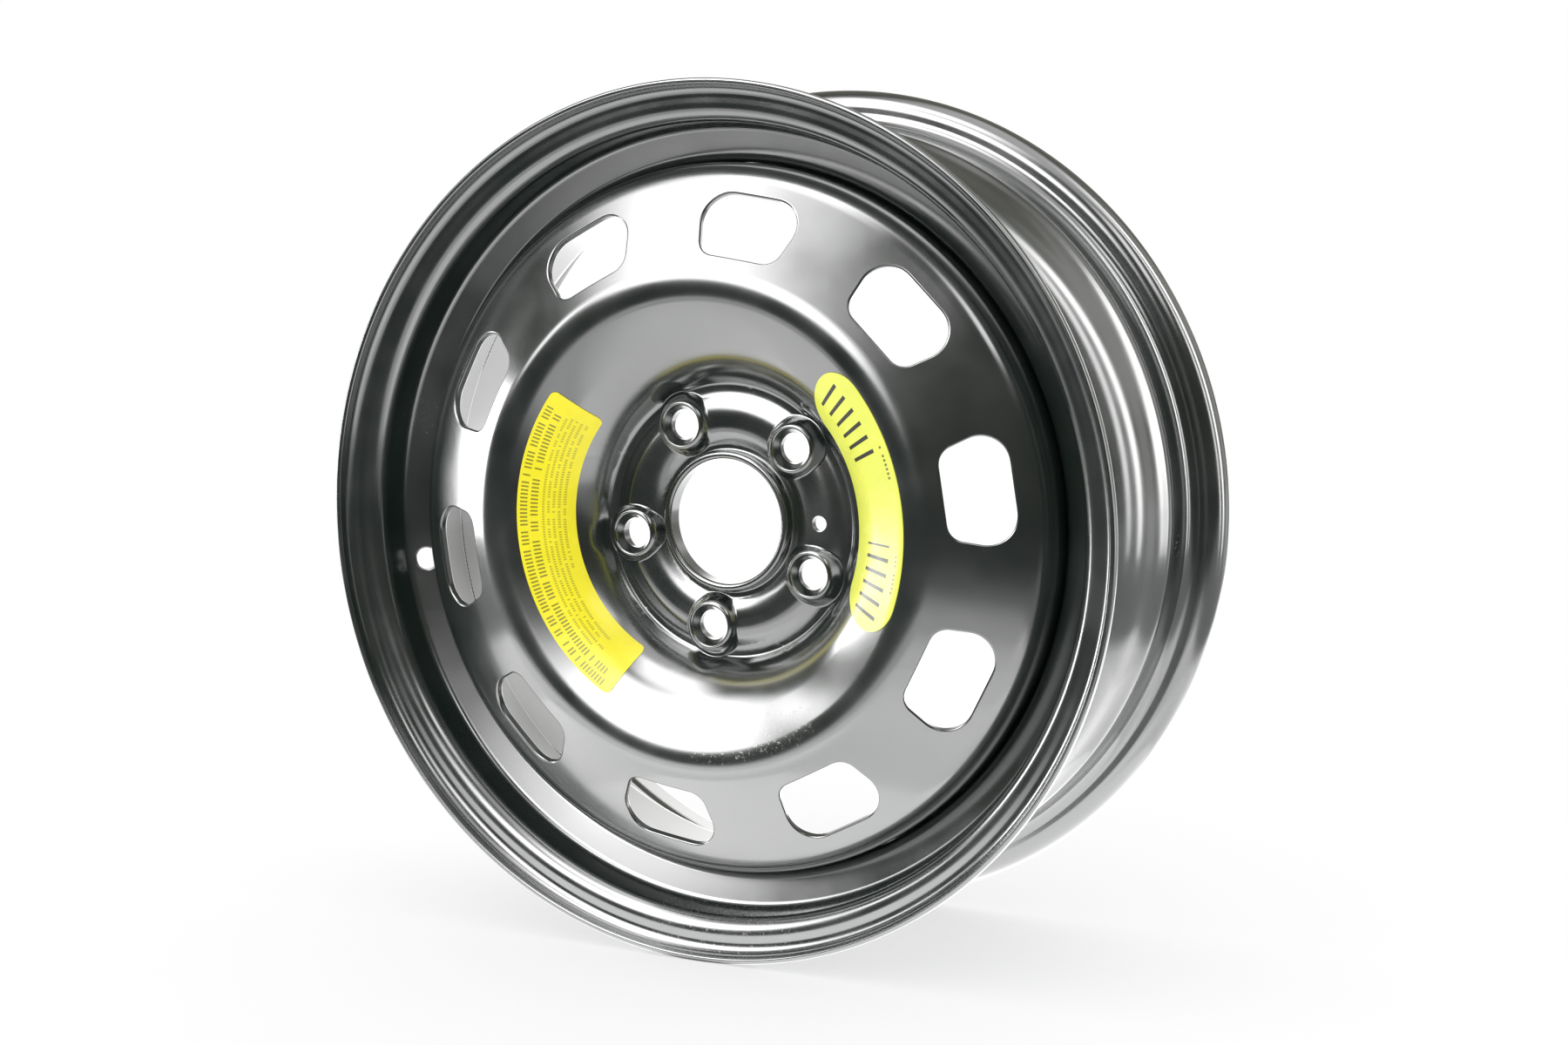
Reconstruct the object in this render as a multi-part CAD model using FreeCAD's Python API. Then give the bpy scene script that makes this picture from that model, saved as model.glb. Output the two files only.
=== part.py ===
import FreeCAD
import Part
import math
import os

# A pressed-steel car wheel without its tyre: a rolled rim, a vented disc welded into it and two stickers.
# The wheel turns about Y. The street side is -Y, the vehicle side +Y, and Z is up.
# The origin is the centre of the hub face, the plane in which the wheel seats on the hub.
# All sizes are in millimetres and degrees. Angles run from +X towards +Z.

# Rim, measured on the side that carries the tyre
BEAD_SEAT_DIAMETER = 405.6
RIM_WIDTH = 139.7           # between the two flange faces
FLANGE_HEIGHT = 17.3        # from the bead seat to the flange's outer edge
FLANGE_LIP = 12.15          # reach of each lip beyond its flange face
FLANGE_CURL = 6.5           # inside radius where the flange curls over to the lip
BEAD_CORNER = 6.5           # inside radius between the bead seat and the flange
BEAD_SEAT_TAPER = 5.0
FRONT_SEAT_WIDTH = 21.35
REAR_SEAT_WIDTH = 19.65
HUMP_HEIGHT = 1.7           # the rear hump above the foot of its bead seat
HUMP_WIDTH = 5.2            # from that foot to the hump's crest
WELL_DEPTH = 19.8           # below the bead seat diameter
WELL_START = 28.35          # from the front flange face to the well
WELL_WIDTH = 48.5
LEDGE_RISE = 11.0           # the well's rear wall, up to the ledge
LEDGE_RUN = 12.5
RIM_SHEET = 3.0
FOLD_RADIUS = 5.0           # inside radius of the rim's other bends
RIM_OFFSET = 43.0           # from the hub face to the rim's middle plane

# Disc, heights measured from the hub face towards the street
DISC_SHEET = 4.0
BORE_DIAMETER = 63.4
COLLAR_HEIGHT = 10.0
GROOVE_WIDTH = 3.3          # from the collar to the foot of the ridge
BOLT_CIRCLE = 108.0
RIDGE_HEIGHT = 7.5
RIDGE_INNER_REACH = 8.0     # from the bolt circle to the inner edge of the ridge's top
RIDGE_OUTER_REACH = 3.0
RIDGE_SLOPE_WIDTH = 8.0     # the ridge's outer slope, down to the seating ring
SEATING_RING_WIDTH = 5.0
WALL_ANGLE = 62.0
WALL_RISE = 19.5
WALL_FOOT_BEND = 3.0
NAVE_ANGLE = 27.0
CROWN_DIAMETER = 238.0      # the vent ring fills the rest, out to the disc's edge
CROWN_BEND = 4.0
VENT_RING_ANGLE = 24.7
DISC_EDGE_BEND = 9.7
DISC_FLANGE_REACH = 14.0    # the disc's edge, past the hub face towards the vehicle
DISC_FIT = 0.05             # radial clearance between the disc's edge and the rim's well

# Bolt seats and holes
WHEEL_TURN = 45.2           # angle of the first bolt
BOLT_COUNT = 5
BOLT_HOLE_DIAMETER = 15.5
SEAT_ANGLE = 60.0           # included angle of the conical nut seat
SEAT_LAND_HEIGHT = 6.5      # where the seat narrows to the bolt hole
SEAT_HEIGHT = 11.5
SEAT_TOP_DIAMETER = 24.0
SEAT_BASE_DIAMETER = 34.0
SEAT_ROOT = 0.4             # depth to which a seat's base is sunk into the sheet
LOCATING_HOLE_DIAMETER = 8.0
LOCATING_HOLE_INSET = 1.7   # from the bolt circle towards the bore
LOCATING_HOLE_ANGLE = 1.5
VALVE_HOLE_DIAMETER = 11.5
VALVE_HOLE_DROP = 12.8      # from the bead seat down the well's front wall

# Vents, drawn flat in the middle of the sloping ring outside the crown
VENT_COUNT = 10
VENT_HEIGHT = 33.5
VENT_INNER_WIDTH = 41.0     # across the sharp corners, before they are rounded
VENT_OUTER_WIDTH = 62.0
VENT_INNER_CORNER = 9.0
VENT_OUTER_CORNER = 14.0

# Welds between the disc's edge and the rim
WELD_COUNT = 8
WELD_LENGTH = 75.0
WELD_LEG = 4.0

# Stickers on the nave
STICKER_SHEET = 0.25
STICKER_GLUE = 0.1          # thickness of the adhesive between the disc and each sticker
STICKER_INSET = 1.0         # from the top of the wall to each sticker
RIGHT_STICKER_WIDTH = 32.5
RIGHT_STICKER_START = -27.0
RIGHT_STICKER_END = 49.0
LEFT_STICKER_WIDTH = 25.5
LEFT_STICKER_START = 141.0
LEFT_STICKER_END = 241.0
LEFT_STICKER_CORNER = 3.0
LEFT_STICKER_SHIFT = 4.0    # the sticker's centre, off the axle towards its own middle

# Bends are made of short flats, so that the wheel keeps few facets
LARGEST_FLAT_TURN = 91.0
SMALLEST_ROUND_TURN = 45.0

AXLE = FreeCAD.Vector(0, 1, 0)
CENTRE = FreeCAD.Vector(0, 0, 0)
STREET = FreeCAD.Vector(0, -1, 0)
FULL_TURN = 360.0
CUT_MARGIN = 30.0           # how far each cutting tool runs past the sheet


def turn_between(first, corner, last):
    """Signed turn in degrees of the path at its corner: a left turn is positive."""
    arriving = corner - first
    leaving = last - corner
    cross = arriving.x * leaving.y - arriving.y * leaving.x
    return math.degrees(math.atan2(cross, arriving.dot(leaving)))


def offset_path(points, distance):
    """The path moved sideways to its left by a distance, with mitred corners."""
    moved = []
    for start, end in zip(points, points[1:]):
        along = (end - start).normalize()
        sideways = FreeCAD.Vector(-along.y, along.x, 0) * distance
        moved.append((start + sideways, end + sideways, along))
    path = [moved[0][0]]
    for (start, _, along), (next_start, _, next_along) in zip(moved, moved[1:]):
        gap = next_start - start
        cross = along.x * next_along.y - along.y * next_along.x
        reach = (gap.x * next_along.y - gap.y * next_along.x) / cross
        path.append(start + along * reach)
    path.append(moved[-1][1])
    return path


def arc_points(first, corner, last, radius, steps):
    """Evenly spaced points on the arc that rounds one corner of a path in the XY plane."""
    turn = turn_between(first, corner, last)
    half = math.radians(turn) / 2
    back = (first - corner).normalize()
    inwards = (back + (last - corner).normalize()).normalize()
    arc_centre = corner + inwards * (radius / math.cos(half))
    start = corner + back * (radius * math.tan(abs(half))) - arc_centre
    points = []
    for step in range(steps + 1):
        spin = FreeCAD.Rotation(FreeCAD.Vector(0, 0, 1), turn * step / steps)
        points.append(arc_centre + spin.multVec(start))
    return points


def bend(first, corner, last, inside, thickness):
    """Points of one bend on the right side of a sheet: the ends of its flats, or a bare corner.

    The sheet's right side is the outside of a left-hand bend.
    """
    turn = turn_between(first, corner, last)
    if inside == 0 or abs(turn) < SMALLEST_ROUND_TURN:
        return [corner]
    radius = inside + thickness if turn > 0 else inside
    return arc_points(first, corner, last, radius, math.ceil(abs(turn) / LARGEST_FLAT_TURN))


def rounded_outline(corners, radii):
    """Closed wire in the XY plane through corners that are rounded by true arcs."""
    before = corners[-1:] + corners[:-1]
    after = corners[1:] + corners[:1]
    arcs = [arc_points(*corner, 2) for corner in zip(before, corners, after, radii)]
    edges = []
    for arc, next_arc in zip(arcs, arcs[1:] + arcs[:1]):
        edges.append(Part.Arc(*arc).toShape())
        edges.append(Part.makeLine(arc[-1], next_arc[0]))
    return Part.Wire(edges)


def sheet_bends(corners, thickness):
    """The right side of a bent sheet's section, as one list of points for each corner.

    A corner is (radius, y, inside bend radius) on that side, and the sheet lies to the left of it.
    """
    points = [FreeCAD.Vector(radius, y, 0) for radius, y, _ in corners]
    bends = [points[:1]]
    for index in range(1, len(corners) - 1):
        bends.append(bend(*points[index - 1:index + 2], corners[index][2], thickness))
    return bends + [points[-1:]]


def revolved(points, angle=FULL_TURN):
    """Solid of revolution about the axle of a closed outline in the XY plane."""
    outline = Part.makePolygon(points + [points[0]])
    return Part.Face(outline).revolve(CENTRE, AXLE, angle)


def revolved_sheet(corners, thickness):
    """Solid of revolution of a bent sheet of even thickness."""
    right = sum(sheet_bends(corners, thickness), [])
    return revolved(right + offset_path(right, thickness)[::-1])


def turned(shape, angle):
    """Copy of a shape, turned about the axle from +X towards +Z."""
    copy = shape.copy()
    copy.rotate(CENTRE, AXLE, -angle)
    return copy


def patterned(shape, count, first_angle):
    """Copies of a shape, evenly spaced about the axle."""
    return [turned(shape, first_angle + FULL_TURN * index / count) for index in range(count)]


def arc_about(centre, radius, start_angle, end_angle):
    """Edge along a circle in the XZ plane."""
    points = []
    for angle in (start_angle, (start_angle + end_angle) / 2, end_angle):
        around = math.radians(angle)
        points.append(centre + FreeCAD.Vector(math.cos(around), 0, math.sin(around)) * radius)
    return Part.Arc(*points).toShape()


# Shared places, worked out from the sizes above
bead_radius = BEAD_SEAT_DIAMETER / 2
flange_radius = bead_radius + FLANGE_HEIGHT
front_flange = RIM_OFFSET - RIM_WIDTH / 2
rear_flange = RIM_OFFSET + RIM_WIDTH / 2
well_radius = bead_radius - WELL_DEPTH
well_front = front_flange + WELL_START
well_rear = well_front + WELL_WIDTH
seat_drop = math.tan(math.radians(BEAD_SEAT_TAPER))
front_seat_foot = bead_radius - FRONT_SEAT_WIDTH * seat_drop
rear_seat_foot = bead_radius - REAR_SEAT_WIDTH * seat_drop
disc_edge_radius = well_radius - RIM_SHEET - DISC_FIT

bolt_radius = BOLT_CIRCLE / 2
collar_radius = BORE_DIAMETER / 2 + DISC_SHEET
wall_foot_radius = bolt_radius + RIDGE_OUTER_REACH + RIDGE_SLOPE_WIDTH + SEATING_RING_WIDTH
wall_top_radius = wall_foot_radius + WALL_RISE / math.tan(math.radians(WALL_ANGLE))
wall_top_height = DISC_SHEET + WALL_RISE
crown_radius = CROWN_DIAMETER / 2
crown_height = wall_top_height + (crown_radius - wall_top_radius) * math.tan(math.radians(NAVE_ANGLE))
vent_ring_fall = math.tan(math.radians(VENT_RING_ANGLE))
disc_edge_height = crown_height - (disc_edge_radius - crown_radius) * vent_ring_fall

RIM_CORNERS = [
    (flange_radius, front_flange - FLANGE_LIP, 0),
    (flange_radius, front_flange, FLANGE_CURL),
    (bead_radius, front_flange, BEAD_CORNER),
    (front_seat_foot, front_flange + FRONT_SEAT_WIDTH, FOLD_RADIUS),
    (well_radius, well_front, FOLD_RADIUS),
    (well_radius, well_rear, FOLD_RADIUS),
    (well_radius + LEDGE_RISE, well_rear + LEDGE_RUN, FOLD_RADIUS),
    (rear_seat_foot + HUMP_HEIGHT, rear_flange - REAR_SEAT_WIDTH - HUMP_WIDTH, FOLD_RADIUS),
    (rear_seat_foot, rear_flange - REAR_SEAT_WIDTH, FOLD_RADIUS),
    (bead_radius, rear_flange, BEAD_CORNER),
    (flange_radius, rear_flange, FLANGE_CURL),
    (flange_radius, rear_flange + FLANGE_LIP, 0),
]

HUB_CORNERS = [
    (collar_radius, -COLLAR_HEIGHT, 0),
    (collar_radius, -DISC_SHEET, 0),
    (collar_radius + GROOVE_WIDTH, -DISC_SHEET, 0),
    (bolt_radius - RIDGE_INNER_REACH, -RIDGE_HEIGHT, 0),
    (bolt_radius + RIDGE_OUTER_REACH, -RIDGE_HEIGHT, 0),
    (bolt_radius + RIDGE_OUTER_REACH + RIDGE_SLOPE_WIDTH, -DISC_SHEET, 0),
]
DISH_CORNERS = [
    (wall_foot_radius, -DISC_SHEET, WALL_FOOT_BEND),
    (wall_top_radius, -wall_top_height, 0),
    (crown_radius, -crown_height, CROWN_BEND),
    (disc_edge_radius, -disc_edge_height, DISC_EDGE_BEND),
    (disc_edge_radius, DISC_FLANGE_REACH, 0),
]
DISC_CORNERS = HUB_CORNERS + DISH_CORNERS


def make_rim():
    """The rolled rim, with its valve hole square to the well's front wall."""
    rim = revolved_sheet(RIM_CORNERS, RIM_SHEET)
    seat_end = FreeCAD.Vector(*RIM_CORNERS[3][:2], 0)
    well_end = FreeCAD.Vector(*RIM_CORNERS[4][:2], 0)
    down_wall = (well_end - seat_end).normalize()
    outwards = FreeCAD.Vector(down_wall.y, -down_wall.x, 0)
    on_wall = seat_end + down_wall * ((bead_radius - VALVE_HOLE_DROP - seat_end.x) / down_wall.x)
    drill = Part.makeCylinder(
        VALVE_HOLE_DIAMETER / 2,
        2 * RIM_SHEET,
        on_wall - outwards * (1.5 * RIM_SHEET),
        outwards,
    )
    return rim.cut(turned(drill, WHEEL_TURN + 2 * FULL_TURN / BOLT_COUNT))


def make_seat():
    """One raised bolt seat on the X axis, before its hole."""
    base = FreeCAD.Vector(bolt_radius, -(DISC_SHEET - SEAT_ROOT), 0)
    height = SEAT_HEIGHT - DISC_SHEET + SEAT_ROOT
    return Part.makeCone(SEAT_BASE_DIAMETER / 2, SEAT_TOP_DIAMETER / 2, height, base, STREET)


def make_bolt_cut():
    """The bolt hole and its conical nut seat, on the X axis."""
    hole_radius = BOLT_HOLE_DIAMETER / 2
    back = FreeCAD.Vector(bolt_radius, CUT_MARGIN, 0)
    hole = Part.makeCylinder(hole_radius, 2 * CUT_MARGIN, back, STREET)
    land = FreeCAD.Vector(bolt_radius, -SEAT_LAND_HEIGHT, 0)
    depth = SEAT_HEIGHT - SEAT_LAND_HEIGHT + CUT_MARGIN
    widest = hole_radius + depth * math.tan(math.radians(SEAT_ANGLE / 2))
    return hole.fuse(Part.makeCone(hole_radius, widest, depth, land, STREET))


def make_vent_cut():
    """One vent's punch on the X axis, square to the sloping ring."""
    half_height = VENT_HEIGHT / 2
    corners = [
        FreeCAD.Vector(-VENT_INNER_WIDTH / 2, -half_height, 0),
        FreeCAD.Vector(VENT_INNER_WIDTH / 2, -half_height, 0),
        FreeCAD.Vector(VENT_OUTER_WIDTH / 2, half_height, 0),
        FreeCAD.Vector(-VENT_OUTER_WIDTH / 2, half_height, 0),
    ]
    radii = [VENT_INNER_CORNER, VENT_INNER_CORNER, VENT_OUTER_CORNER, VENT_OUTER_CORNER]
    outline = rounded_outline(corners, radii)
    outline.translate(FreeCAD.Vector(0, 0, -CUT_MARGIN))
    punch = Part.Face(outline).extrude(FreeCAD.Vector(0, 0, 2 * CUT_MARGIN))
    slope = math.radians(VENT_RING_ANGLE)
    across = FreeCAD.Vector(0, 0, 1)
    outwards = FreeCAD.Vector(math.cos(slope), math.sin(slope), 0)
    radius = (crown_radius + disc_edge_radius) / 2
    height = (crown_height + disc_edge_height) / 2
    attitude = FreeCAD.Rotation(across, outwards, across.cross(outwards), "XYZ")
    punch.Placement = FreeCAD.Placement(FreeCAD.Vector(radius, -height, 0), attitude)
    return punch


def make_disc():
    """The pressed disc, with its bolt seats, holes and vents."""
    disc = revolved_sheet(DISC_CORNERS, DISC_SHEET)
    disc = disc.fuse(patterned(make_seat(), BOLT_COUNT, WHEEL_TURN))
    cuts = patterned(make_bolt_cut(), BOLT_COUNT, WHEEL_TURN)
    cuts += patterned(make_vent_cut(), VENT_COUNT, WHEEL_TURN)
    pin = Part.makeCylinder(
        LOCATING_HOLE_DIAMETER / 2,
        2 * CUT_MARGIN,
        FreeCAD.Vector(bolt_radius - LOCATING_HOLE_INSET, CUT_MARGIN, 0),
        STREET,
    )
    cuts.append(turned(pin, LOCATING_HOLE_ANGLE))
    return disc.cut(cuts).removeSplitter()


def make_welds():
    """Fillet welds between the end of the disc's edge and the rim's well."""
    radius = well_radius - RIM_SHEET
    corner = FreeCAD.Vector(radius, DISC_FLANGE_REACH, 0)
    section = [corner, corner - FreeCAD.Vector(WELD_LEG, 0, 0), corner + FreeCAD.Vector(0, WELD_LEG, 0)]
    bead = revolved(section, math.degrees(WELD_LENGTH / radius))
    return Part.makeCompound(patterned(bead, WELD_COUNT, WHEEL_TURN))


def sticker(punch):
    """The part inside a punch of a thin skin on the disc's wall and nave."""
    dish = sheet_bends(DISC_CORNERS, DISC_SHEET)[len(HUB_CORNERS):]
    wall_foot, wall_top, crown = dish[:3]
    face = wall_foot[-1:] + wall_top + crown[:1]
    back = offset_path(face, -STICKER_GLUE)
    front = offset_path(face, -STICKER_GLUE - STICKER_SHEET)
    return revolved(back + front[::-1]).common(punch)


def sticker_punch(outline):
    """Prism along the axle through a closed outline in the XZ plane."""
    outline.translate(STREET * (crown_height + CUT_MARGIN))
    return Part.Face(outline).extrude(AXLE * (crown_height + 2 * CUT_MARGIN))


def make_right_sticker():
    """A curved band with round ends."""
    inner = wall_top_radius + STICKER_INSET
    half = RIGHT_STICKER_WIDTH / 2
    middle = inner + half
    end_turn = math.degrees(half / middle)
    start = RIGHT_STICKER_START + end_turn
    end = RIGHT_STICKER_END - end_turn
    ends = []
    for angle in (start, end):
        around = math.radians(angle)
        ends.append(FreeCAD.Vector(math.cos(around), 0, math.sin(around)) * middle)
    outline = Part.Wire([
        arc_about(CENTRE, inner + RIGHT_STICKER_WIDTH, start, end),
        arc_about(ends[1], half, end, end + FULL_TURN / 2),
        arc_about(CENTRE, inner, end, start),
        arc_about(ends[0], half, start + FULL_TURN / 2, start + FULL_TURN),
    ])
    return sticker(sticker_punch(outline))


def make_left_sticker():
    """A longer curved band with square ends, stuck on a little off centre."""
    around = math.radians((3 * LEFT_STICKER_START + LEFT_STICKER_END) / 4)
    own_centre = FreeCAD.Vector(math.cos(around), 0, math.sin(around)) * LEFT_STICKER_SHIFT
    inner = wall_top_radius + STICKER_INSET - LEFT_STICKER_SHIFT
    outer = inner + LEFT_STICKER_WIDTH
    outer_arc = arc_about(own_centre, outer, LEFT_STICKER_START, LEFT_STICKER_END)
    inner_arc = arc_about(own_centre, inner, LEFT_STICKER_END, LEFT_STICKER_START)
    outline = Part.Wire([
        outer_arc,
        Part.makeLine(outer_arc.lastVertex().Point, inner_arc.firstVertex().Point),
        inner_arc,
        Part.makeLine(inner_arc.lastVertex().Point, outer_arc.firstVertex().Point),
    ])
    punch = sticker_punch(outline)
    corners = [edge for edge in punch.Edges if abs(edge.tangentAt(edge.FirstParameter).dot(AXLE)) > 0.99]
    return sticker(punch.makeFillet(LEFT_STICKER_CORNER, corners))


os.makedirs("parts", exist_ok=True)
make_rim().exportStep("parts/rim.step")
make_disc().exportStep("parts/disc.step")
make_welds().exportStep("parts/weld_beads.step")
make_right_sticker().exportStep("parts/right_sticker.step")
make_left_sticker().exportStep("parts/left_sticker.step")
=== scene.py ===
"""Looks of a pressed-steel car wheel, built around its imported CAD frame.

The wheel turns about Y. The street side is -Y, the vehicle side +Y, and Z is up. A place on a section is
(radius, height) in millimetres, with heights measured from the hub face towards the street.
"""
import math

import bpy
import numpy as np
from mathutils import Matrix, Quaternion, Vector


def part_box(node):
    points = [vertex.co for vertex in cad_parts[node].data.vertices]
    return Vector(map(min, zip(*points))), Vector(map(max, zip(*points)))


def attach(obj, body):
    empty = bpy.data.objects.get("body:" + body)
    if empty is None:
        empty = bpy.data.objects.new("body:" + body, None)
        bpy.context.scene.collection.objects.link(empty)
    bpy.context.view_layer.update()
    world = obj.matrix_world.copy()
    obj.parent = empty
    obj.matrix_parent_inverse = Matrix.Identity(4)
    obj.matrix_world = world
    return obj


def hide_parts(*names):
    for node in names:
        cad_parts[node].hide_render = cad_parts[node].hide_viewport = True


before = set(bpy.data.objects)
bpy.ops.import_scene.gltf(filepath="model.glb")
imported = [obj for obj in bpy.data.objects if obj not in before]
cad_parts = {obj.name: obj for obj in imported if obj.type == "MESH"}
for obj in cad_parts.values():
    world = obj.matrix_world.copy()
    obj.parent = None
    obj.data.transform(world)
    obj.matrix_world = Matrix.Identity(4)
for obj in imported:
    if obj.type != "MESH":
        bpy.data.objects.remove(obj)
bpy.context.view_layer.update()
MM = 0.001

# Overall sizes, read from the frame
rim_low, rim_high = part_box("rim")
_, disc_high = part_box("disc")
FLANGE_RADIUS = rim_high.x / MM
RIM_FRONT = -rim_low.y / MM
RIM_REAR = -rim_high.y / MM
DISC_EDGE_RADIUS = disc_high.x / MM
DISC_REAR = -disc_high.y / MM
FLOOR_HEIGHT = rim_low.z

# How the wheel is turned in the photo, and what repeats round it
WHEEL_TURN = 45.2
BOLT_COUNT = 5
BOLT_STEP = 360 / BOLT_COUNT
VENT_COUNT = 10

# Rim section
FLANGE_LIP = 12.15
FLANGE_HEIGHT = 17.3
FLANGE_CURL = 6.5
BEAD_CORNER = 6.5
BEAD_SEAT_TAPER = 5.0
FRONT_SEAT_WIDTH = 21.35
REAR_SEAT_WIDTH = 19.65
HUMP_HEIGHT = 1.7
HUMP_WIDTH = 5.2
WELL_DEPTH = 19.8
WELL_START = 28.35
WELL_WIDTH = 48.5
LEDGE_RISE = 11.0
LEDGE_RUN = 12.5
RIM_SHEET = 3.0
FOLD_RADIUS = 5.0
LEDGE_BEND = 36.0
LEDGE_FOLD_REACH = 9.0
LEDGE_FOLD_DROP = 4.6
LEDGE_FOLD_BEND = 36.0
HUMP_BEND = 9.0
HUMP_FOOT_BEND = 8.0
LIP_EDGE = 1.2
VALVE_HOLE_RADIUS = 5.75
VALVE_HOLE_DROP = 12.8
VALVE_HOLE_ROUND = 0.9
VALVE_HOLE_ANGLE = WHEEL_TURN + 2 * BOLT_STEP

# Disc section, on the street side
DISC_SHEET = 4.0
BORE_RADIUS = 31.7
COLLAR_HEIGHT = 10.0
COLLAR_RADIUS = BORE_RADIUS + DISC_SHEET
COLLAR_LIP = 1.9
COLLAR_FOOT = 1.2
BOLT_RADIUS = 54.0
GROOVE_WIDTH = 3.3
RIDGE_HEIGHT = 7.5
RIDGE_INNER_REACH = 8.0
RIDGE_OUTER_REACH = 3.0
RIDGE_SLOPE_WIDTH = 8.0
WALL_FOOT_RADIUS = 70.0
WALL_ANGLE = math.radians(62.0)
WALL_TOP_HEIGHT = 23.5
WALL_TOP_RADIUS = WALL_FOOT_RADIUS + (WALL_TOP_HEIGHT - DISC_SHEET) / math.tan(WALL_ANGLE)
BACK_FOLD_RADIUS = WALL_FOOT_RADIUS + DISC_SHEET * math.tan(WALL_ANGLE / 2)
NAVE_ANGLE = math.radians(27.0)
VENT_RING_WIDTH = 60.95
VENT_RING_ANGLE = math.radians(24.7)
VENT_COS, VENT_SIN = math.cos(VENT_RING_ANGLE), math.sin(VENT_RING_ANGLE)
CROWN_RADIUS = DISC_EDGE_RADIUS - VENT_RING_WIDTH
CROWN_HEIGHT = WALL_TOP_HEIGHT + (CROWN_RADIUS - WALL_TOP_RADIUS) * math.tan(NAVE_ANGLE)
DISC_EDGE_HEIGHT = CROWN_HEIGHT - VENT_RING_WIDTH * math.tan(VENT_RING_ANGLE)
WALL_TOP_BEND = 52.0
WALL_FOOT_BEND = 3.0
RIDGE_BEND = 18.0
RIDGE_FOOT_BEND = 9.0
GROOVE_BEND = 4.0
CROWN_BEND = 20.0
DISC_EDGE_BEND = 13.7
EDGE_ROUND = 0.8

# Bolt seats, holes and vents
BOLT_HOLE_RADIUS = 7.75
SEAT_SLOPE = 1 / math.tan(math.radians(30.0))
SEAT_LAND = 6.5
SEAT_TOP = 11.4
SEAT_RIM_RADIUS = 12.2
SEAT_FLANK_SLOPE = 1.95
SEAT_TOP_BLEND = 1.2
SEAT_FLANK_BLEND = 3.0
SEAT_FOOT_BLEND = 1.6
POCKET_RADIUS = 17.8
POCKET_FLOOR_END = 67.5
POCKET_BLEND = 3.5
POCKET_SLOPE = math.tan(math.radians(70.0))
LOCATING_HOLE_RADIUS = 4.0
LOCATING_HOLE_REACH = 52.3
LOCATING_HOLE_ANGLE = 1.5
VENT_HALF_HEIGHT = 16.75
VENT_INNER_HALF = 20.5
VENT_OUTER_HALF = 31.0
VENT_INNER_CORNER = 9.0
VENT_OUTER_CORNER = 14.0
VENT_EDGE_ROUND = 1.1
VENT_MIDDLE_RADIUS = (CROWN_RADIUS + DISC_EDGE_RADIUS) / 2
VENT_MIDDLE_HEIGHT = (CROWN_HEIGHT + DISC_EDGE_HEIGHT) / 2

# Stickers on the nave, as in the frame
STICKER_INSET = 1.0
STICKER_SHEET = 0.25
STICKER_GLUE = 0.1
RIGHT_STICKER_INNER = WALL_TOP_RADIUS + STICKER_INSET
RIGHT_STICKER_WIDTH = 32.5
RIGHT_STICKER_ENDS = (-27.0, 49.0)
RIGHT_STICKER_CENTRE = (0.0, 0.0)
LEFT_STICKER_SHIFT = 4.0
LEFT_STICKER_INNER = RIGHT_STICKER_INNER - LEFT_STICKER_SHIFT
LEFT_STICKER_WIDTH = 25.5
LEFT_STICKER_ENDS = (141.0, 241.0)
LEFT_STICKER_CORNER = 3.0
LEFT_STICKER_BEARING = math.radians(166.0)
LEFT_STICKER_CENTRE = (LEFT_STICKER_SHIFT * math.cos(LEFT_STICKER_BEARING),
                       LEFT_STICKER_SHIFT * math.sin(LEFT_STICKER_BEARING))

# Ticks of the generic print: height, width, gap, darkness, share left out
BOLD_TICKS = (15.0, 1.9, 5.0, 1.0, 0.0)
SMALL_TICKS = (1.5, 1.2, 1.0, 0.8, 0.14)
LINE_TICKS = (3.4, 0.9, 1.1, 0.7, 0.14)
FINE_TICKS = (1.1, 0.8, 0.5, 0.45, 0.14)
PRINT_EDGE = 0.12
ROW_SEED = 71.3

# Rows of the generic print: distance from the sticker's inner edge, first angle, last angle, ticks
BOLD_REACH = 15.63
SMALL_REACH = 28.13
RIGHT_PRINT = [
    (BOLD_REACH, 23, 45, BOLD_TICKS),
    (BOLD_REACH, -23, -2, BOLD_TICKS),
    (SMALL_REACH, 14, 24, SMALL_TICKS),
    (SMALL_REACH, -14, -4, SMALL_TICKS),
]
LINE_START = 146
FINE_REACH = 13.23
FINE_PITCH = 2.3
FINE_ENDS = (228, 230, 226, 229, 200)
LEFT_PRINT = [(22.23, LINE_START, 238, LINE_TICKS), (17.43, LINE_START, 236, LINE_TICKS)]
for line, end in enumerate(FINE_ENDS):
    LEFT_PRINT.append((FINE_REACH - FINE_PITCH * line, LINE_START, end, FINE_TICKS))

# Welds behind the disc's edge
WELD_COUNT = 8
WELD_LENGTH = 75.0
WELD_LEG = 4.0
WELD_FULLNESS = 0.94
WELD_HOLLOW = 0.14
WELD_RIPPLE = 2.2
WELD_RIPPLE_DEPTH = 0.1
WELD_END_POWER = 8
WELD_END_LEAST = 0.02
WELD_OVERLAP = 0.04
WELD_GAP = 0.01

# How finely the shapes are divided
COLUMNS = 300
BEND_STEPS = 9
EDGE_STEPS = 5
COLLAR_STEPS = 6
FINE_STEPS = 40
FINE_SHARE = 4
HUB_INNER, HUB_OUTER = COLLAR_RADIUS + COLLAR_FOOT, 84.0
HUB_BACK_INNER, HUB_BACK_OUTER = 38.0, 88.0
HUB_ROWS = 28
HUB_NEAR_SHARE = 0.75
FRONT_RINGS = (18, 8, 8)
BACK_RINGS = (4, 5, 9)
SLOPE_STEP = 0.05
VENT_INNER, VENT_OUTER = 128.5, 170.0
VENT_ROWS = 22
VENT_RINGS = 5
VENT_RING_SPREAD = 1.3
VENT_CORNER_STEPS = 24
VENT_EDGE_ROWS = 6
SETTLE_ROUNDS = 24
HOLE_MARGIN = 0.8
HOLE_EDGE_ROWS = 5
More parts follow.
